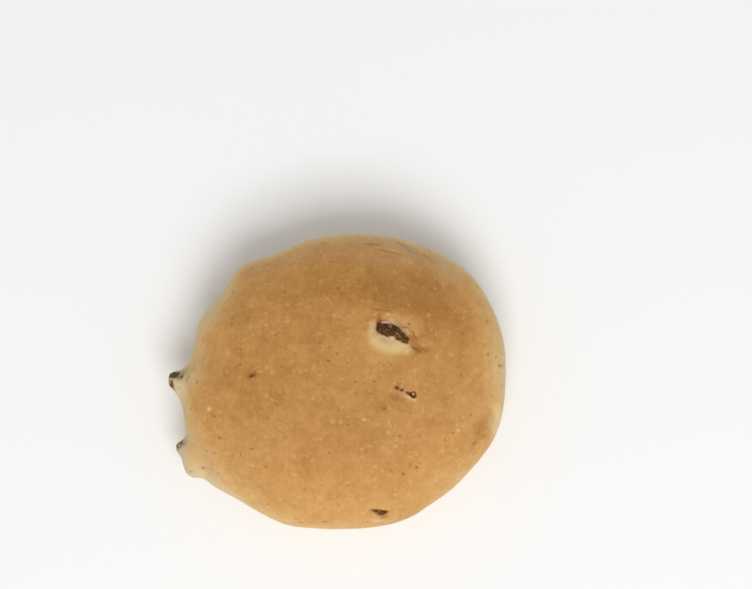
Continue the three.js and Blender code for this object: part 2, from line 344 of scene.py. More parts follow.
# Pinkish grey dough: near a raisin its juice stained it, and the far edge's skin is so too.
STAINED = [
    Dent(on_top(8.5, 14.6), 80, 2.6, 1.1, 0.7, 1.5),
    Dent(on_top(12.6, 12.3), -4, 3.4, 1.2, 0.85, 1.5),
    Dent(on_top(16.4, 11.3), -42, 1.6, 0.5, 0.5),
    Dent(on_top(14.3, 16.9), -20, 3.4, 0.8, 0.8, 1.5),
    Dent(on_top(11.9, 17), -8, 1.8, 0.7, 0.7, 1.5),
    Dent(on_top(17.8, 14.5), -50, 1.6, 0.9, 0.6, 1.5),
    Dent(on_top(10.9, -39.5), -8, 1.5, 0.5, 0.6),
    Dent(on_top(9, -40.1), -8, 1.6, 0.6, 0.4),
    Dent(on_top(17.4, -3.7), -22, 4.0, 1.6, 0.3),
    Dent(on_top(17.4, 39.7), -5, 9.0, 4.5, 0.5),
    Dent(on_top(29.7, 33), -45, 7.0, 3.5, 0.3),
    Dent(on_side(208, 22), 0, 6.0, 5.0, 0.25, 1.5),
    Dent(on_side(213.5, 22.5), -25, 2.8, 1.5, 0.4, 1.5),
    Dent(on_top(8, 38), 0, 18, 5.5, 0.15, 2),
]

# Pale greyish dough: pushed out too late to bake, or bare where another bun was torn off.
RAW = [
    Dent(on_side(336, 8.5), -18, 6.0, 3.4, 0.6, 1.5),
    Dent(on_side(62, 8.5), 28, 6.2, 3.6, 0.6, 1.5),
    Dent(on_side(120, 8.5), -30, 5.6, 3.4, 0.6, 1.5),
    Dent(on_side(344.3, 18), 0, 4.2, 8.6, 0.6, 2),
    Dent(on_side(203.5, 15.5), 0, 4.4, 5.0, 0.75, 2),
    Dent(on_side(182, 19), 0, 3.0, 3.5, 0.3, 1.5),
]

# Where a raisin's juice shows brown through thin or split skin, and more than 1 where it is deep;
# some marks round the top raisin are painted shade.
JUICE_AND_SHADE_MARKS = [
    # The curled end of the top raisin: brown where it shows through, and painted shade of its deep
    # fold.
    Dent(on_top(9.8, 16.3), 82, 1.9, 0.8, 1.05),
    Dent(on_top(18.2, 12.3), -60, 0.8, 0.5, 1.1, 2),
    # Painted shade in the folds above the top raisin and past its narrow end.
    Dent(on_top(16.5, 16), -32, 2.2, 0.9, 0.35),
    Dent(on_top(19.2, 11.8), -70, 2.2, 0.9, 0.33),
    Dent(on_top(15.1, -2.1), -10, 0.85, 0.6, 1, 2),
    Dent(on_top(16.5, -2.7), 20, 0.7, 0.45, 0.95, 2),
    Dent(on_top(18.6, -3.7), -25, 1.3, 0.5, 1.2, 2),
    Dent(on_top(19.9, -4.1), 0, 1.0, 1.1, 1.2, 3),
    Dent(on_top(20.2, -4.8), 10, 0.8, 0.5, 0.4, 2),
    # A pale crumb in the widest split.
    Dent(on_top(19.9, -3.9), 0, 0.45, 0.45, -1.6, 2),
    # The slit over the front raisin.
    Dent(on_top(10.5, -38.5), -20, 1.6, 1.0, 1, 2),
    Dent(on_top(10, -38.1), -24, 2.5, 0.55, 1, 1.5),
    Dent(on_top(11.6, -38.6), -20, 0.9, 0.7, 0.5, 1.5),
    Dent(on_top(11.5, -39.8), 0, 1.4, 0.9, 0.3),
    Dent(on_top(10.4, -38.1), -24, 2.0, 0.45, 0.6, 1.5),
    Dent(on_top(11, -39.6), 0, 1.1, 0.6, 0.4),
]

# Where a raisin shows greyish green through the dough, and one painted crease shadow.
VEILED_AND_SHADED = [
    Dent(on_side(177.8, 18.8), 80, 1.9, 0.9, 1, 2),
    Dent(on_side(178.1, 20.2), 80, 3.2, 1.2, 0.45, 1.5),
    Dent(on_side(177.1, 21), 0, 2.0, 1.8, 0.4, 1.5),
    Dent(on_side(181.4, 18.9), 20, 1.6, 1.4, 1.05, 2),
    Dent(on_side(180.3, 19.4), 0, 0.5, 0.8, 0.7),
    Dent(on_side(182.3, 21.5), 0, 0.5, 0.7, 0.5),
    Dent(on_side(178, 23.5), 0, 2.8, 2.6, 0.25, 2),
    # A painted shadow in the crease where the knob over the upper left raisin meets the bun.
    Dent(on_side(180.6, 24.8), 5, 2.6, 0.7, 0.35),
    Dent(on_side(175.2, 26), 0, 1.3, 1.0, 0.35),
    Dent(on_side(200.7, 16.2), 0, 1.0, 1.9, 1.4, 2),
    Dent(on_side(201.3, 19.6), 0, 0.6, 0.8, 0.75),
    Dent(on_side(201.2, 18.6), 0, 0.9, 1.2, 0.35),
    Dent(on_side(203.5, 15.5), 0, 2.4, 1.2, 0.4),
]

# More browning, or less, and painted shade in some creases, folds and hollows.
BROWNED_AND_SHADED = [
    # The top: browner towards the far edge, as browning and as painted shade, paler round the torn
    # hollow and at the near edge.
    Dent(on_top(4, 29), 0, 24, 8, 0.13),
    Dent(on_top(6, 38.5), 0, 18, 3, 0.06),
    Dent(on_top(26, 25), -40, 16, 8, 0.15),
    Dent(on_top(14, 25), -20, 9, 4, 0.12),
    Dent(on_top(24, 14), 60, 6, 4, 0.08),
    Dent(on_top(33, 18), -60, 6, 4, 0.06),
    Dent(on_top(-30, 5), 80, 12, 7, 0.08),
    Dent(on_top(6, 10), 40, 7, 6, -0.1),
    Dent(on_top(14.4, 6.3), -6, 7, 2.6, -0.13),
    Dent(on_top(0, -32), 0, 40, 12, -0.06),
    Dent(on_top(28, -22), 40, 12, 7, -0.04),
    # The pale right edge with its brown patch, and the browner edges from there to the front.
    Dent(on_side(5, 24), 0, 12, 9, -0.2, 1.5),
    Dent(on_top(41, -14.2), 75, 5.0, 3.2, 0.18, 3),
    Dent(on_side(334, 22), 0, 8, 5, 0.2),
    Dent(on_top(38, -17), 60, 5, 3.5, 0.18, 1.5),
    Dent(on_side(300, 22), 0, 12, 6, 0.22),
    Dent(on_side(270, 21), 0, 9, 4, 0.12),
    # The pale lip over the top raisin, and painted shade in the creases and folds round it.
    Dent(on_top(15, 18.7), -16, 6.0, 1.4, -0.22),
    Dent(on_top(9.2, 18.3), 10, 1.5, 0.8, 0.35),
    Dent(on_top(19.8, 12.3), -60, 1.5, 1.0, 0.55),
    Dent(on_top(20.8, 9.8), -20, 1.8, 1.2, 0.4, 1.5),
    Dent(on_top(23.6, 9), -4, 2.4, 0.7, 0.2),
    Dent(on_top(10.2, 20.9), -5, 2.2, 0.5, 0.2),
    # Beside the small raisin: painted shade in its shallow hollow, and a brown patch.
    Dent(on_top(15.2, -4.7), -20, 2.2, 1.1, 0.3),
    Dent(on_top(11.4, -8.1), 30, 1.6, 1.0, 0.2),
    # The wrinkled skin of the far edge: paler on the low fold, with painted shade along the
    # wrinkles.
    Dent(on_top(16.4, 41), -3, 8.0, 2.5, -0.15),
    Dent(on_top(7.7, 40.6), 8, 2.2, 0.6, 0.4),
    Dent(on_top(17.3, 40.4), 2, 3.4, 0.7, 0.5),
    Dent(on_top(19.2, 38.6), -4, 3.0, 0.5, 0.4),
    Dent(on_top(13.3, 38.3), 0, 4.2, 0.5, 0.15),
    Dent(on_top(24.4, 36.8), -10, 3.2, 0.5, 0.25),
    # Painted shade along the creases in the pale side.
    Dent(on_side(14, 11), 20, 3.6, 0.5, 0.24),
    Dent(on_side(19, 14), -12, 2.6, 0.4, 0.2),
    Dent(on_side(43, 12), -25, 3.2, 0.5, 0.24),
    Dent(on_side(76, 17), 15, 3.8, 0.5, 0.24),
    Dent(on_side(98, 13), 28, 3.0, 0.4, 0.24),
    Dent(on_side(104, 17), -8, 2.2, 0.4, 0.2),
    Dent(on_side(147, 12), -20, 3.4, 0.5, 0.24),
    Dent(on_side(236, 9), 12, 3.2, 0.5, 0.24),
    Dent(on_side(262, 7), -16, 3.8, 0.5, 0.24),
    Dent(on_side(291, 8), 18, 2.8, 0.4, 0.2),
    Dent(on_side(315, 10), -22, 3.0, 0.5, 0.24),
    # The left edge, with the dough that the raisins pushed out before it browned.
    Dent(on_side(152, 24), 0, 9, 6, -0.28),
    Dent(on_top(-43, 1), 88, 9, 3, -0.1),
    Dent(on_side(207, 13), 0, 7.5, 10, -0.15, 2),
    Dent(on_side(208, 23.5), 0, 6, 3.5, 0.18),
    Dent(on_side(182, 14), 0, 6.5, 9, -0.4, 1.5),
]

# Small dark marks that the oven left.
SCORCHED = [
    Dent(on_top(-27.3, 1.4), 20, 1.15, 0.6, 1.1),
    Dent(on_top(-26.5, 2.5), 0, 0.4, 0.35, 0.5),
    Dent(on_top(-18.5, 3.9), 0, 0.4, 0.4, 0.5),
    Dent(on_top(-39.3, -9.8), 0, 0.45, 0.4, 0.6),
    Dent(on_top(-38.6, -10.5), 0, 0.5, 0.4, 0.7),
    Dent(on_top(-36.9, -16.8), 0, 0.45, 0.45, 0.7),
    Dent(on_top(-38.5, -21.3), 0, 0.3, 0.45, 0.5),
    Dent(on_top(-39.3, -18.4), 0, 0.35, 0.35, 0.4),
    Dent(on_side(215.8, 25.5), 0, 0.45, 0.35, 0.45),
    Dent(on_side(213.2, 24), 0, 0.5, 0.35, 0.4),
    Dent(on_side(211.4, 21.6), 0, 0.4, 0.5, 0.75),
    Dent(on_side(210.3, 18.5), 0, 0.35, 0.4, 0.7),
    Dent(on_side(205.1, 19), 0, 0.35, 0.35, 0.45),
    Dent(on_top(-30.8, -21.5), 0, 0.45, 0.35, 0.7),
    Dent(on_top(-27.4, -20), 0, 0.7, 0.25, 0.6),
    Dent(on_top(16.8, -27.2), 40, 0.5, 0.4, 0.8),
    Dent(on_top(20.8, -25.3), 0, 0.45, 0.4, 0.8),
    Dent(on_top(13.4, -26.3), 0, 0.45, 0.4, 0.6),
    Dent(on_top(38, -18.4), 0, 0.6, 0.45, 0.7),
    Dent(on_top(45.5, 4.5), 0, 0.6, 0.8, 0.6),
    Dent(on_top(46.4, 4.4), 0, 0.5, 0.9, 0.45),
    Dent(on_top(45.2, 2.4), 0, 0.5, 0.6, 0.3),
    Dent(on_top(46.5, -1.3), 0, 0.4, 0.9, 0.3),
    Dent(on_top(46.3, 8.1), 0, 0.4, 0.9, 0.25),
    Dent(on_top(41.7, 17.6), 0, 0.4, 0.35, 0.6),
    Dent(on_top(8.4, 20), 0, 0.4, 0.3, 0.5),
    Dent(on_top(24.8, 38.9), 0, 0.5, 0.6, 0.6),
    Dent(on_top(10.1, -38), -24, 1.8, 0.4, 0.5, 1.5),
    Dent(on_top(-13.2, -41.9), 0, 0.7, 0.35, 0.7),
    Dent(on_top(-6.2, -41.6), 0, 0.7, 0.35, 0.7),
]

# Pale grains that stand out of the crust.
GRAINS = [
    Dent(on_top(-40.2, -8.1), 0, 0.75, 0.65, 0.9, 1.5),
    Dent(on_top(33.1, -14.5), 0, 0.6, 0.5, 0.7, 1.5),
    Dent(on_top(5.5, -11.3), 0, 0.6, 0.5, 0.6, 1.5),
    Dent(on_top(12.4, 19.4), 0, 0.6, 0.5, 0.7, 1.5),
]


# Each seed of the noise looks at a place this far on, and each octave has swells this many times
# finer than the last, and as many times lower.
SEED_STEP = (17.3, 5.1, 29.7)
OCTAVE_STEP = 2


def noise_at(points, size, seed, octaves=2):
    """Smooth noise from about -1 to 1, with swells of about the given size."""
    shift = Vector([seed * step for step in SEED_STEP])
    places = (points / size).tolist()
    return np.array([noise.fractal(Vector(p) + shift, 1, OCTAVE_STEP, octaves) for p in places])


def wobbled(points, size, by, seed):
    """Points moved about by noise, for uneven edges."""
    moves = [noise_at(points, size, seed + axis) for axis in range(3)]
    return points + by * np.stack(moves, -1)


def smooth_step(low, high, values):
    """0 at low and before, 1 at high and past it, and smooth between."""
    share = np.clip((values - low) / (high - low), 0, 1)
    return share * share * (3 - 2 * share)


def bend(raisin, along):
    """How far a raisin's middle line is off its axis, along it."""
    return -raisin.curl * (2 * along / raisin.size[0]) ** 2


def covered_by(dents, points):
    """How much dents cover points, from 0 to 1."""
    return np.clip(lift(dents, points), 0, 1)


def raisin_height(raisin, points):
    """How far a raisin's upper side stands out of the plain dough at points, where it does."""
    along, across, normal = spot_axes(raisin.spot, raisin.turn)
    away = points - raisin.spot[0]
    length, width, thickness = (size / 2 for size in raisin.size)
    off_line = away @ across - bend(raisin, away @ along)
    share = np.clip(away @ along / length, -1, 1)
    girth = raisin_girth(np.sign(share) * np.abs(share) ** (1 / RAISIN_BLUNTNESS))
    inside = girth**2 - (off_line / width) ** 2
    is_near = (inside > 0) & (np.abs(away @ normal) < length)
    height = raisin.out + thickness * np.sqrt(np.clip(inside, 0, None))
    return np.where(is_near, height, -HEIGHT)


def raisin_girth(share):
    """How thick a raisin is at shares of the way from its middle to its ends, -1 to 1."""
    return np.sqrt(1 - share**2) * (1 - RAISIN_TAPER * share)


# The dough's mesh.


def longest_edge(points, lengths):
    """How long the mesh's edges, of these lengths and with their middles here, may be."""
    longest = np.where(points[:, 2] > BASE_EDGE_HEIGHT, SKIN_EDGE, BASE_EDGE)
    for dent in FINE_RELIEF + SCORCHED + GRAINS + JUICE_AND_SHADE_MARKS + VEILED_AND_SHADED:
        fine = max(FEATURE_EDGE * dent.across, FINEST_EDGE)
        wider = dent._replace(along=dent.along + lengths / 2, across=dent.across + lengths / 2)
        is_near = share_of(wider, points) < FEATURE_REACH
        longest = np.where(is_near, np.minimum(longest, fine), longest)
    return longest


def sphere_directions(body):
    """The directions of a sphere's vertices from its middle."""
    return np.array([v.co for v in body.verts])


def halve_long_edges(body):
    """Halves the sphere's edges that are too long on the dough."""
    points, _ = plain_dough(sphere_directions(body))
    body.verts.index_update()
    ends = np.array([[v.index for v in edge.verts] for edge in body.edges])
    start, end = points[ends[:, 0]], points[ends[:, 1]]
    lengths = np.linalg.norm(end - start, axis=1)
    is_long = lengths > longest_edge((start + end) / 2, lengths)
    edges = [edge for edge, long in zip(body.edges, is_long) if long]
    bmesh.ops.subdivide_edges(body, edges=edges, cuts=1, use_grid_fill=True)
    bmesh.ops.triangulate(body, faces=body.faces)
    for vert in body.verts:
        vert.co.normalize()


# How high noise lifts and dents the skin: in broad swells, in fine ones and where it is torn; and
# how high the grains stand.
SWELLS = 0.22
FINE_SWELLS = 0.05
TORN_SWELLS = 0.16
GRAIN_HEIGHT = 0.3

# The rise of the normals where the base ends and the skin begins.
BASE_END = -0.9
SKIN_START = -0.5

# Skin thicker than this over a raisin is all the same.
THICKEST = 9


def dough_heights(points, normals):
    """How far the skin stands out of the plain dough, and how thick it is over the raisins."""
    height = lift(RELIEF, points)
    tops = {name: raisin_height(raisin, points) for name, raisin in RAISINS.items()}
    uneven_film = FILM_UNEVEN * noise_at(points, size=1.4, seed=8, octaves=3)
    for name, raisin in RAISINS.items():
        if raisin.film:
            drawn = tops[name] + raisin.film + raisin.veil * uneven_film
            height = FILM_BLEND * np.logaddexp(height / FILM_BLEND, drawn / FILM_BLEND)
    height += lift(FINE_RELIEF, wobbled(points, size=1.2, by=0.25, seed=40))
    is_skin = smooth_step(BASE_END, SKIN_START, normals[:, 2])
    height += is_skin * SWELLS * noise_at(points, size=11, seed=1)
    height += is_skin * FINE_SWELLS * noise_at(points, size=1.7, seed=2, octaves=3)
    torn_swells = TORN_SWELLS * noise_at(points, size=0.9, seed=9, octaves=3)
    height += torn_swells * covered_by(TORN, points)
    height += GRAIN_HEIGHT * covered_by(GRAINS, points)
    return height, {name: np.clip(height - top, 0, THICKEST) for name, top in tops.items()}


# The veil over a raisin fades with the skin's thickness, and noise makes it patchy.
VEIL_DEPTH = 0.7
VEIL_SHARE = 0.85
VEIL_PATCHES = 0.6


def veiled(thickness, points):
    """How far the raisins show through the skin, with one painted crease shadow."""
    veil = covered_by(VEILED_AND_SHADED, points)
    for name, raisin in RAISINS.items():
        veil = np.maximum(veil, raisin.veil * np.exp(-thickness[name] / VEIL_DEPTH))
    patches = VEIL_PATCHES * noise_at(points, size=1.1, seed=6, octaves=3)
    return np.clip(veil * (VEIL_SHARE + patches), 0, 1)


# How brown the top is, and the rise of the normals where the browning ends: all round, and at the
# front, which lies in this direction and is this wide, in degrees.
TOP_BROWN = 0.8
SIDE_RISE = -0.05
FRONT_RISE = -0.45
FRONT = -65
FRONT_WIDTH = 65
BROWN_FADE = 1.3  # more of it keeps the browning nearer the top

# How uneven noise makes the browning's edge, the browning itself and the base's.
EDGE_SWELLS = 0.05
BROWN_SWELLS = 0.04
BASE_SWELLS = 0.2

# How brown the base is, and how much browner than the side its foot is, which ends between these
# heights.
BASE_BROWN = 0.6
FOOT_BROWN = 0.35
FOOT_START = 0.5
FOOT_END = 4

# Where the base is: up to this height, and where the normals point down this far.
BASE_TOP = 0.6
BASE_FALL = (-0.8, -0.97)


def browning_and_shade(points, normals):
    """How far the oven browned the skin, 0 on the pale side and about 0.8 on the top, with painted
    shade added in some creases, folds and hollows.
    """
    angle = np.arctan2(points[:, 1], points[:, 0])
    front = np.exp(-(((angle - math.radians(FRONT)) / math.radians(FRONT_WIDTH)) ** 2))
    lowest = SIDE_RISE + (FRONT_RISE - SIDE_RISE) * front
    rise = normals[:, 2] + EDGE_SWELLS * noise_at(points, size=6, seed=3)
    brown = TOP_BROWN * (np.clip((rise - lowest) / (1 - lowest), 0, 1)) ** BROWN_FADE
    brown += BROWN_SWELLS * noise_at(points, size=12, seed=4)
    brown += lift(BROWNED_AND_SHADED, wobbled(points, size=2, by=0.5, seed=50))
    foot = smooth_step(FOOT_END, FOOT_START, points[:, 2] + noise_at(points, size=5, seed=7))
    brown += FOOT_BROWN * foot
    baked_base = BASE_BROWN + BASE_SWELLS * noise_at(points, size=9, seed=5)
    is_base = smooth_step(BASE_TOP, 0, points[:, 2]) * smooth_step(*BASE_FALL, normals[:, 2])
    return brown + is_base * (baked_base - brown)


def set_mask(mesh, name, values):
    """Keeps a value for each vertex, for the material to read by its name."""
    mesh.attributes.new(name, "FLOAT", "POINT").data.foreach_set("value", values)


def mesh_object(name, body, points):
    """A shaded-smooth object of a bmesh whose points, in millimetres, are placed in the frame."""
    mesh = bpy.data.meshes.new(name)
    body.to_mesh(mesh)
    body.free()
    mesh.vertices.foreach_set("co", placed(points).ravel())
    mesh.shade_smooth()
    mesh.update()
    piece = bpy.data.objects.new(name, mesh)
    bpy.context.scene.collection.objects.link(piece)
    return piece


def placed(points):
    """Points about the bun's axis, in millimetres, as points of the frame, in metres."""
    return points * MM + np.array([*axis_place, 0])


def dough_axis():
    """Where the bun's axis stands in the frame: its +X and +Y sides meet those of the solid."""
    body = bmesh.new()
    bmesh.ops.create_icosphere(body, subdivisions=SPHERE_LEVELS, radius=1)
    points, normals = plain_dough(sphere_directions(body))
    body.free()
    points += lift(RELIEF, points)[:, None] * normals
    _, far_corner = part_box("bun")
    return np.array(far_corner)[:2] - points.max(0)[:2] * MM


def make_dough():
    """The dough with its crust, in one piece, and the masks that its material reads."""
    body = bmesh.new()
    bmesh.ops.create_icosphere(body, subdivisions=SPHERE_LEVELS, radius=1)
    for _ in range(HALVINGS):
        halve_long_edges(body)
    plain, normals = plain_dough(sphere_directions(body))
    height, thickness = dough_heights(plain, normals)
    points = plain + height[:, None] * normals
    points[:, 2] = np.maximum(points[:, 2], 0)  # the flat base
    dough = mesh_object("dough", body, points)
    uneven = wobbled(plain, size=1.6, by=0.3, seed=60)
    finely_uneven = wobbled(plain, size=0.7, by=0.15, seed=70)
    broadly_uneven = wobbled(plain, size=4, by=1.0, seed=80)
    set_mask(dough.data, "browning_and_shade", browning_and_shade(plain, normals))
    set_mask(dough.data, "torn", covered_by(TORN, uneven))
    set_mask(dough.data, "stained", covered_by(STAINED, uneven))
    set_mask(dough.data, "raw", covered_by(RAW, broadly_uneven))
    set_mask(dough.data, "juice_and_shade", lift(JUICE_AND_SHADE_MARKS, finely_uneven))
    set_mask(dough.data, "scorched", covered_by(SCORCHED, finely_uneven))
    set_mask(dough.data, "grains", covered_by(GRAINS, finely_uneven))
    set_mask(dough.data, "veil", veiled(thickness, plain))
    return dough


# A raisin's mesh starts from a sphere this fine. Its folds, as its solid has them: how many, how
# high for its girth, and how they drift round it along its length.
RAISIN_LEVELS = 6
RAISIN_FOLDS = 5
RAISIN_FOLD = 0.09
FOLD_DRIFT = 1.9
FOLD_TURNS = 2.3

# The wrinkles of its skin: how high, wide and sharp they are, and their width over their length.
# At its thick end they lean this far, and their painted highlight is this much fainter.
WRINKLE = 0.42
WRINKLE_SIZE = 0.7
WRINKLE_SHARPNESS = 3
WRINKLE_STRETCH = 0.25
WRINKLE_LEAN = 2
WRINKLE_FADE = 0.15

# How much of its veil shows on the raisin itself.
OWN_VEIL = 0.7

# The seeds of the raisins' noise.
FIRST_RAISIN_SEED = 100
RAISIN_SEED_STEP = 20


def make_raisin(name, seed):
    """A raisin as its solid has it, with the fine wrinkles of its skin."""
    raisin = RAISINS[name]
    body = bmesh.new()
    bmesh.ops.create_icosphere(body, subdivisions=RAISIN_LEVELS, radius=1)
    directions = sphere_directions(body)
    half_length = raisin.size[0] / 2
    around = np.arctan2(directions[:, 2], directions[:, 1])
    drift = FOLD_DRIFT * np.sin(FOLD_TURNS * directions[:, 0] + half_length)
    fold = np.sin(RAISIN_FOLDS * around + drift) * (1 - directions[:, 0] ** 2)
    swell = (1 + RAISIN_FOLD * fold) * (1 - RAISIN_TAPER * directions[:, 0])
    blunt = directions.copy()
    blunt[:, 0] = np.sign(directions[:, 0]) * np.abs(directions[:, 0]) ** RAISIN_BLUNTNESS
    local = blunt * np.array(raisin.size) / 2
    local[:, 1:] *= swell[:, None]
    # The wrinkles run along the raisin at its thin end and lean across it towards the thick one.
    lean = (half_length - local[:, 0]) / raisin.size[0]
    streaks = local * np.array([WRINKLE_STRETCH, 1, 1])
    streaks[:, 1] -= WRINKLE_LEAN * raisin.size[0] / 3 * lean**3
    streaks = wobbled(streaks, size=1.8, by=0.7, seed=seed)
    off_ridge = np.abs(noise_at(streaks, WRINKLE_SIZE, seed + 9, octaves=1))
    ridge = (1 - off_ridge) ** WRINKLE_SHARPNESS
    local += WRINKLE * directions * (ridge - 0.5)[:, None]
    local[:, 1] += bend(raisin, local[:, 0])
    along, across, normal = spot_axes(raisin.spot, raisin.turn)
    points = raisin.spot[0] + local @ np.stack([along, across, normal]) + raisin.out * normal
    piece = mesh_object(name.replace("raisin", "fruit"), body, points)
    set_mask(piece.data, "ridge", ridge * (1 - WRINKLE_FADE * lean))
    set_mask(piece.data, "veil", np.full(len(points), OWN_VEIL * raisin.veil))
    return piece


# Materials.


def srgb(red, green, blue):
    """A colour given as it looks on a screen, 0 to 255, as Blender wants it."""
    shares = [value / 255 for value in (red, green, blue)]
    linear = [s / 12.92 if s <= 0.04045 else ((s + 0.055) / 1.055) ** 2.4 for s in shares]
    return (*linear, 1)


# How far each axis takes part when a texture is moved on, and the values between which most of a
# Noise node's lie.
SHIFTS = (1, 0.7, 0.3)
NOISE_LOW = 0.25
NOISE_HIGH = 0.75

# The Mix node's sockets for colours.
MIX_FIRST = 6
MIX_SECOND = 7
MIX_RESULT = 2


class Painter:
    """Builds one material's nodes. A method that makes a value or a colour gives its socket."""

    def __init__(self, name):
        self.material = bpy.data.materials.new(name)
        self.material.use_nodes = True
        self.tree = self.material.node_tree
        self.surface = self.tree.nodes["Principled BSDF"]

    def node(self, kind, **settings):
        """A new shader node of a kind, with its settings."""
        made = self.tree.nodes.new("ShaderNode" + kind)
        for name, value in settings.items():
            setattr(made, name, value)
        return made

    def put(self, socket, value):
        """Links a socket to an input, or sets the input's own value."""
        if isinstance(value, bpy.types.NodeSocket):
            self.tree.links.new(value, socket)
        else:
            socket.default_value = value

    def mask(self, name):
        """The value that set_mask() kept."""
        return self.node("Attribute", attribute_name=name).outputs["Fac"]

    def place(self, shift=0):
        """The place on the object, in millimetres, moved by shift."""
        mapping = self.node("Mapping")
        self.put(mapping.inputs["Vector"], self.node("TexCoord").outputs["Object"])
        mapping.inputs["Location"].default_value = tuple(shift * share for share in SHIFTS)
        mapping.inputs["Scale"].default_value = (1 / MM, 1 / MM, 1 / MM)
        return mapping.outputs["Vector"]

    def noise(self, size, shift=0, detail=3):
        """Noise with swells of size millimetres."""
        made = self.node("TexNoise")
        self.put(made.inputs["Vector"], self.place(shift))
        made.inputs["Scale"].default_value = 1 / size
        made.inputs["Detail"].default_value = detail
        return made.outputs["Fac"]

    def dots(self, spacing, radius, share, shift=0):
        """Uneven dots about spacing millimetres apart, in a share of the places, some fainter."""
        cells = self.node("TexVoronoi")
        self.put(cells.inputs["Vector"], self.place(shift))
        cells.inputs["Scale"].default_value = 1 / spacing
        reach = radius / spacing
        unevenness = self.ranged(self.noise(radius, shift), 0.3, 0.7, -0.5, 0.5)
        unevenness = self.math("MULTIPLY", unevenness, reach)
        distance = self.math("ADD", cells.outputs["Distance"], unevenness)
        near = self.ranged(distance, reach, 0.2 * reach)
        red = self.node("SeparateColor")
        self.put(red.inputs["Color"], cells.outputs["Color"])
        chosen = self.ranged(red.outputs["Red"], share, 0)
        return self.math("MULTIPLY", near, chosen)

    def math(self, operation, first, second):
        """The sum or product of two values, as the operation says."""
        made = self.node("Math", operation=operation)
        self.put(made.inputs[0], first)
        self.put(made.inputs[1], second)
        return made.outputs[0]

    def ranged(self, value, low, high, to_low=0, to_high=1):
        """value's share of the way from low to high, smoothed, as to_low to to_high."""
        made = self.node("MapRange", interpolation_type="SMOOTHSTEP")
        for name, given in [
            ("Value", value),
            ("From Min", low),
            ("From Max", high),
            ("To Min", to_low),
            ("To Max", to_high),
        ]:
            self.put(made.inputs[name], given)
        return made.outputs["Result"]

    def swing(self, value, by):
        """A noise's value as one from -by to by."""
        return self.ranged(value, NOISE_LOW, NOISE_HIGH, -by, by)

    def ramp(self, value, stops):
        """value's colour between stops, which are pairs of a value and its colour."""
        made = self.node("ValToRGB")
        self.put(made.inputs["Fac"], value)
        elements = made.color_ramp.elements
        while len(elements) < len(stops):
            elements.new(0.5)
        for element, (position, colour) in zip(elements, stops):
            element.position = position
            element.color = colour
        return made.outputs["Color"]

    def mix(self, share, first, second):
        """The first colour, with that share of the second."""
        made = self.node("Mix", data_type="RGBA")
        self.put(made.inputs["Factor"], share)
        self.put(made.inputs[MIX_FIRST], first)
        self.put(made.inputs[MIX_SECOND], second)
        return made.outputs[MIX_RESULT]

    def bump(self, height, depth):
        """Relief of depth millimetres in the surface's normal."""
        made = self.node("Bump")
        self.put(made.inputs["Height"], height)
        made.inputs["Distance"].default_value = depth * MM
        self.put(self.surface.inputs["Normal"], made.outputs["Normal"])


# The crust's colours, by how brown it is, and those of its specks, dots and marks.
CRUST_STOPS = [
    (0.0, srgb(218, 195, 150)),
    (0.25, srgb(221, 182, 122)),
    (0.5, srgb(209, 159, 94)),
    (0.75, srgb(194, 140, 74)),
    (1.0, srgb(170, 117, 55)),
]
SPECK = srgb(146, 94, 40)
GRAIN = srgb(226, 184, 122)
PALE_GRAIN = srgb(228, 196, 140)
CRUMB = srgb(243, 212, 150)
CRUMB_DARK = srgb(228, 192, 128)
STAIN = srgb(200, 168, 130)
RAW_DOUGH = srgb(222, 202, 170)
VEIL = srgb(186, 161, 116)
DEEP_VEIL = srgb(92, 76, 52)
JUICE_AND_SHADE_TINT = srgb(120, 65, 6)
DEEP_JUICE = srgb(72, 32, 0)
SCORCH = srgb(112, 63, 2)

# How much the mottles, the patches and the grain of the crust change its browning.
MOTTLES = 0.07
PATCHES = 0.06
GRAININESS = 0.06

# Brown specks are stronger where the crust is browner: the browning's range, and their strength's.
SPECK_RANGE = (0.1, 0.45)
SPECK_STRENGTH = (0.35, 0.7)

# The masks' values between which the veil, the deep veil and the deep juice set in.
VEIL_RANGE = (0, 0.6)
DEEP_VEIL_RANGE = (0.55, 0.9)
DEEP_JUICE_RANGE = (1, 1.8)

# How strong the pale dots' colour is, and their relief beside the grain's; and the depth of both.
PALE_DOTS = 0.4
PALE_RELIEF = 0.3
CRUST_RELIEF = 0.12

# The crust's surface, and how much light the crumb under it scatters, in each colour.
CRUST_ROUGHNESS = (0.62, 0.8)
CRUST_SPECULAR = 0.3
CRUMB_GLOW = 0.08
CRUMB_GLOW_RADIUS = (1.0, 0.5, 0.25)
CRUMB_GLOW_DEPTH = 2 * MM


def baked_colour(paint, grain, pale):
    """The crust's colour: browned, and darker where shade is painted into the browning, with
    mottles and patches, grain, brown specks and pale dots.
    """
    mottle = paint.swing(paint.noise(size=6, shift=3, detail=2), MOTTLES)
    patch = paint.swing(paint.noise(size=2.2, shift=31, detail=2), PATCHES)
    brown = paint.math("ADD", paint.mask("browning_and_shade"), mottle)
    brown = paint.math("ADD", brown, patch)
    brown = paint.math("ADD", brown, paint.swing(grain, GRAININESS))
    colour = paint.ramp(brown, CRUST_STOPS)
    specks = paint.dots(spacing=2.6, radius=0.6, share=0.6, shift=5)
    strength = paint.ranged(brown, *SPECK_RANGE, *SPECK_STRENGTH)
    specks = paint.math("MULTIPLY", specks, strength)
    colour = paint.mix(specks, colour, SPECK)
    return paint.mix(paint.math("MULTIPLY", pale, PALE_DOTS), colour, GRAIN)


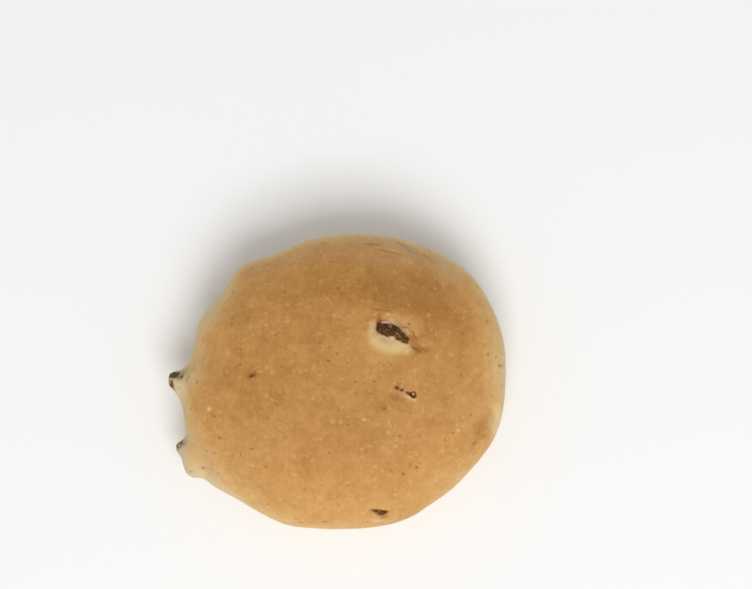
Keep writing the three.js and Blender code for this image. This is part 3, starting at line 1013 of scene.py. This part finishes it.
def marked_colour(paint, colour):
    """The crust's colour with all that its masks lay over it, from the torn dough up."""
    crumb = paint.mix(paint.noise(size=2.2, shift=17), CRUMB, CRUMB_DARK)
    colour = paint.mix(paint.mask("torn"), colour, crumb)
    colour = paint.mix(paint.mask("stained"), colour, STAIN)
    colour = paint.mix(paint.mask("raw"), colour, RAW_DOUGH)
    colour = paint.mix(paint.ranged(paint.mask("veil"), *VEIL_RANGE), colour, VEIL)
    colour = paint.mix(paint.ranged(paint.mask("veil"), *DEEP_VEIL_RANGE), colour, DEEP_VEIL)
    colour = paint.mix(paint.mask("juice_and_shade"), colour, JUICE_AND_SHADE_TINT)
    colour = paint.mix(paint.ranged(paint.mask("juice_and_shade"), *DEEP_JUICE_RANGE), colour, DEEP_JUICE)
    colour = paint.mix(paint.mask("scorched"), colour, SCORCH)
    return paint.mix(paint.mask("grains"), colour, PALE_GRAIN)


def crust_material():
    """Matt baked crust over pale crumb, with what its masks lay over it."""
    paint = Painter("baked crust")
    grain = paint.noise(size=0.6, shift=11, detail=2)
    pale = paint.dots(spacing=2.0, radius=0.8, share=0.7, shift=29)
    colour = marked_colour(paint, baked_colour(paint, grain, pale))
    paint.put(paint.surface.inputs["Base Color"], colour)
    paint.put(paint.surface.inputs["Roughness"], paint.ranged(grain, 0, 1, *CRUST_ROUGHNESS))
    paint.surface.inputs["Specular IOR Level"].default_value = CRUST_SPECULAR
    paint.surface.inputs["Subsurface Weight"].default_value = CRUMB_GLOW
    paint.surface.inputs["Subsurface Radius"].default_value = CRUMB_GLOW_RADIUS
    paint.surface.inputs["Subsurface Scale"].default_value = CRUMB_GLOW_DEPTH
    relief = paint.math("ADD", grain, paint.math("MULTIPLY", pale, PALE_RELIEF))
    paint.bump(relief, CRUST_RELIEF)
    return paint.material


# The raisins' colours, with a painted highlight for the ridges, the ridges' values between which it
# sets in, and the surface.
RAISIN_DARK = srgb(68, 39, 12)
RAISIN_BROWN = srgb(92, 60, 27)
RAISIN_RIDGE_HIGHLIGHT = srgb(154, 119, 78)
RIDGE_RANGE = (0.5, 0.95)
RAISIN_RELIEF = 0.08
RAISIN_ROUGHNESS = (0.48, 0.65)
RAISIN_SPECULAR = 0.1


def raisin_material():
    """Dark wrinkled skin with a painted highlight along its ridges, and greyish where dough veils
    it.
    """
    paint = Painter("raisin skin")
    tone = paint.noise(size=1.6, shift=7, detail=4)
    fine = paint.noise(size=0.35, shift=19, detail=3)
    colour = paint.mix(paint.ranged(tone, 0.3, 0.7), RAISIN_DARK, RAISIN_BROWN)
    colour = paint.mix(paint.ranged(paint.mask("ridge"), *RIDGE_RANGE), colour, RAISIN_RIDGE_HIGHLIGHT)
    colour = paint.mix(paint.mask("veil"), colour, DEEP_VEIL)
    paint.put(paint.surface.inputs["Base Color"], colour)
    paint.put(paint.surface.inputs["Roughness"], paint.ranged(fine, 0, 1, *RAISIN_ROUGHNESS))
    paint.surface.inputs["Specular IOR Level"].default_value = RAISIN_SPECULAR
    paint.bump(fine, RAISIN_RELIEF)
    return paint.material


def finish_piece(piece, material, node):
    """Gives a piece its material and slot, and puts it in the place of its solid."""
    piece.data.materials.append(material)
    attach(piece, "root")
    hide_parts(node)


# The floor, the light and the camera.

FLOOR_SIZE = 6
FLOOR_GAP = 0.0002
FLOOR_COLOUR = (0.97, 0.97, 0.97, 1)
FLOOR_ROUGHNESS = 0.9
SKY = 0.5
KEY_PLACE = Vector((0.15, -0.8, 1.35))
KEY_SIZE = 0.9
KEY_POWER = 14.7
LENS = 150
SENSOR = 36
IMAGE_WIDTH = 752
PIXEL = 0.3 * MM  # of the bun, at its girth
AIM = np.array([9.0, 26.0, GIRTH_HEIGHT])  # what the camera looks at, about the bun's axis
CAMERA_TILT = 2  # degrees off straight down


def make_floor():
    """A pale floor just under the bun."""
    mesh = bpy.data.meshes.new("floor")
    low, _ = cad_box
    side, z = FLOOR_SIZE / 2, low.z - FLOOR_GAP
    corners = [(-side, -side, z), (side, -side, z), (side, side, z), (-side, side, z)]
    mesh.from_pydata(corners, [], [(0, 1, 2, 3)])
    floor = bpy.data.objects.new("floor", mesh)
    bpy.context.scene.collection.objects.link(floor)
    paint = Painter("pale floor")
    paint.surface.inputs["Base Color"].default_value = FLOOR_COLOUR
    paint.surface.inputs["Roughness"].default_value = FLOOR_ROUGHNESS
    floor.data.materials.append(paint.material)


def make_light(name, place, target, size, power):
    """A square soft light at a place, turned to the target."""
    data = bpy.data.lights.new(name, "AREA")
    data.size = size
    data.energy = power
    light = bpy.data.objects.new(name, data)
    light.location = place
    light.rotation_euler = (target - place).to_track_quat("-Z", "Y").to_euler()
    bpy.context.scene.collection.objects.link(light)


def make_lights(target):
    """An even white surrounding and one soft light over the bun's front edge."""
    world = bpy.data.worlds.new("studio")
    world.use_nodes = True
    world.node_tree.nodes["Background"].inputs["Color"].default_value = (1, 1, 1, 1)
    world.node_tree.nodes["Background"].inputs["Strength"].default_value = SKY
    bpy.context.scene.world = world
    make_light("key", target + KEY_PLACE, target, KEY_SIZE, KEY_POWER)


def make_camera(target):
    """A camera that looks down on the target, so far off that a pixel is PIXEL wide there."""
    data = bpy.data.cameras.new("camera")
    data.lens = LENS
    data.sensor_width = SENSOR
    distance = PIXEL * IMAGE_WIDTH * LENS / SENSOR
    tilt = math.radians(CAMERA_TILT)
    camera = bpy.data.objects.new("camera", data)
    camera.location = target + distance * Vector((0, -math.sin(tilt), math.cos(tilt)))
    camera.rotation_euler = (tilt, 0, 0)
    bpy.context.scene.collection.objects.link(camera)
    bpy.context.scene.camera = camera


axis_place = dough_axis()
aim = Vector(placed(AIM))
make_camera(aim)
make_lights(aim)
make_floor()
bpy.context.scene.view_settings.view_transform = "Standard"

finish_piece(make_dough(), crust_material(), "bun")
raisin_skin = raisin_material()
for number, name in enumerate(RAISINS):
    seed = FIRST_RAISIN_SEED + RAISIN_SEED_STEP * number
    finish_piece(make_raisin(name, seed), raisin_skin, name)
